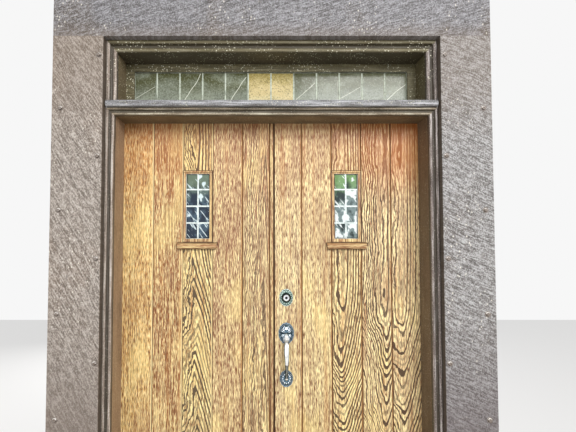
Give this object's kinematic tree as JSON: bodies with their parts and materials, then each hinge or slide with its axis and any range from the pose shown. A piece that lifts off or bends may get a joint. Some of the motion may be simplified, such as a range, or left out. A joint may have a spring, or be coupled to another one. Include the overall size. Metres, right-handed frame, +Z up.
{
  "type": "double plank door with frame and transom light",
  "caption": "Pair of inward-opening oak plank doors with small leaded windows, lock and thumb latch, in a moulded painted frame with a leaded transom light and wide surround boards.",
  "frame": {"origin": "on the floor, midway between the jambs, in the plane of the wall's outer face", "axes": "+X to the right seen from outside, +Y into the building, +Z up"},
  "size_m": [2.054, 0.3127, 2.655],
  "materials": {
    "oak": "satin",
    "painted_boards": "matte",
    "painted_frame": "satin",
    "clear_glass": "gloss",
    "amber_glass": "gloss",
    "lead": "matte",
    "iron": "matte",
    "steel": "satin",
    "pewter": "satin",
    "bright_lock": "satin",
    "inside_metal": "satin"
  },
  "bodies": {
    "frame": {"left_surround_board": "painted_boards", "right_surround_board": "painted_boards", "header_surround_board": "painted_boards", "surround_bolts": "iron", "left_jamb": "painted_frame", "right_jamb": "painted_frame", "head_jamb": "painted_frame", "transom_bar": "painted_frame", "threshold": "painted_frame", "transom_nosing": "painted_frame", "left_casing": "painted_frame", "right_casing": "painted_frame", "head_casings": "painted_frame", "transom_sash": "painted_frame", "transom_clear_panes": "clear_glass", "transom_amber_panes": "amber_glass", "transom_cames": "lead", "transom_glazing_beads": "painted_frame", "frame_hinge_plates": "steel", "hinge_pins": "steel", "bolt_keeper": "steel"},
    "left_leaf": {"left_plank_1": "oak", "left_plank_2": "oak", "left_plank_3": "oak", "left_plank_4": "oak", "left_plank_5": "oak", "left_backing_frame": "oak", "left_window_frame": "oak", "left_window_sill": "oak", "left_window_panes": "clear_glass", "left_window_cames": "lead", "left_hinge_plates": "steel", "meeting_strip": "oak", "strike_plates": "steel", "bolt_guides": "steel"},
    "right_leaf": {"right_plank_1": "oak", "right_plank_2": "oak", "right_plank_3": "oak", "right_plank_4": "oak", "right_plank_5": "oak", "right_backing_frame": "oak", "right_window_frame": "oak", "right_window_sill": "oak", "right_window_panes": "clear_glass", "right_window_cames": "lead", "right_hinge_plates": "steel", "deadbolt_rose": "pewter", "lock_cylinder": "bright_lock", "handle_upper_plate": "pewter", "handle_grip": "pewter", "handle_lower_plate": "pewter", "inside_roses": "inside_metal"},
    "top_bolt": {"top_bolt": "steel"},
    "bottom_bolt": {"bottom_bolt": "steel"},
    "thumb_piece": {"thumb_piece": "pewter"},
    "latch_bolt": {"latch_bolt": "steel"},
    "inside_knob": {"inside_knob": "inside_metal"},
    "deadbolt_bolt": {"deadbolt_bolt": "steel"},
    "thumb_turn": {"thumb_turn": "inside_metal"},
    "key_plug": {"key_plug": "bright_lock"}
  },
  "joints": [
    {"name": "left_leaf_hinge", "type": "hinge", "parent": "frame", "child": "left_leaf", "pos_m": [-0.7605, 0.2135, 1.048], "axis": [0, 0, 1], "range_deg": [0, 105]},
    {"name": "right_leaf_hinge", "type": "hinge", "parent": "frame", "child": "right_leaf", "pos_m": [0.7605, 0.2135, 1.048], "axis": [0, 0, -1], "range_deg": [0, 105]},
    {"name": "top_bolt_slide", "type": "slide", "parent": "left_leaf", "child": "top_bolt", "axis": [0, 0, 1], "range_m": [0, 0.022]},
    {"name": "bottom_bolt_slide", "type": "slide", "parent": "left_leaf", "child": "bottom_bolt", "axis": [0, 0, -1], "range_m": [0, 0.02]},
    {"name": "thumb_piece_tilt", "type": "hinge", "parent": "right_leaf", "child": "thumb_piece", "pos_m": [0.076, 0.157, 0.985], "axis": [-1, 0, 0], "range_deg": [0, 15]},
    {"name": "latch_slide", "type": "slide", "parent": "right_leaf", "child": "latch_bolt", "axis": [-1, 0, 0], "range_m": [0, 0.012]},
    {"name": "inside_knob_turn", "type": "hinge", "parent": "right_leaf", "child": "inside_knob", "pos_m": [0.076, 0.2255, 0.992], "axis": [0, 1, 0], "range_deg": [0, 40]},
    {"name": "thumb_turn_turn", "type": "hinge", "parent": "right_leaf", "child": "thumb_turn", "pos_m": [0.076, 0.2155, 1.17], "axis": [0, 1, 0], "range_deg": [0, 90]},
    {"name": "deadbolt_slide", "type": "slide", "parent": "right_leaf", "child": "deadbolt_bolt", "axis": [-1, 0, 0], "range_m": [0, 0.025]},
    {"name": "key_plug_turn", "type": "hinge", "parent": "right_leaf", "child": "key_plug", "pos_m": [0.076, 0.16, 1.17], "axis": [0, 1, 0], "range_deg": [0, 90]}
  ],
  "couplings": [
    {"joint": "latch_slide", "follows": "thumb_piece_tilt", "m_per_rad": 0.0458},
    {"joint": "inside_knob_turn", "follows": "thumb_piece_tilt", "ratio": 2.6},
    {"joint": "deadbolt_slide", "follows": "thumb_turn_turn", "m_per_rad": 0.0159},
    {"joint": "key_plug_turn", "follows": "thumb_turn_turn", "ratio": 1}
  ]
}
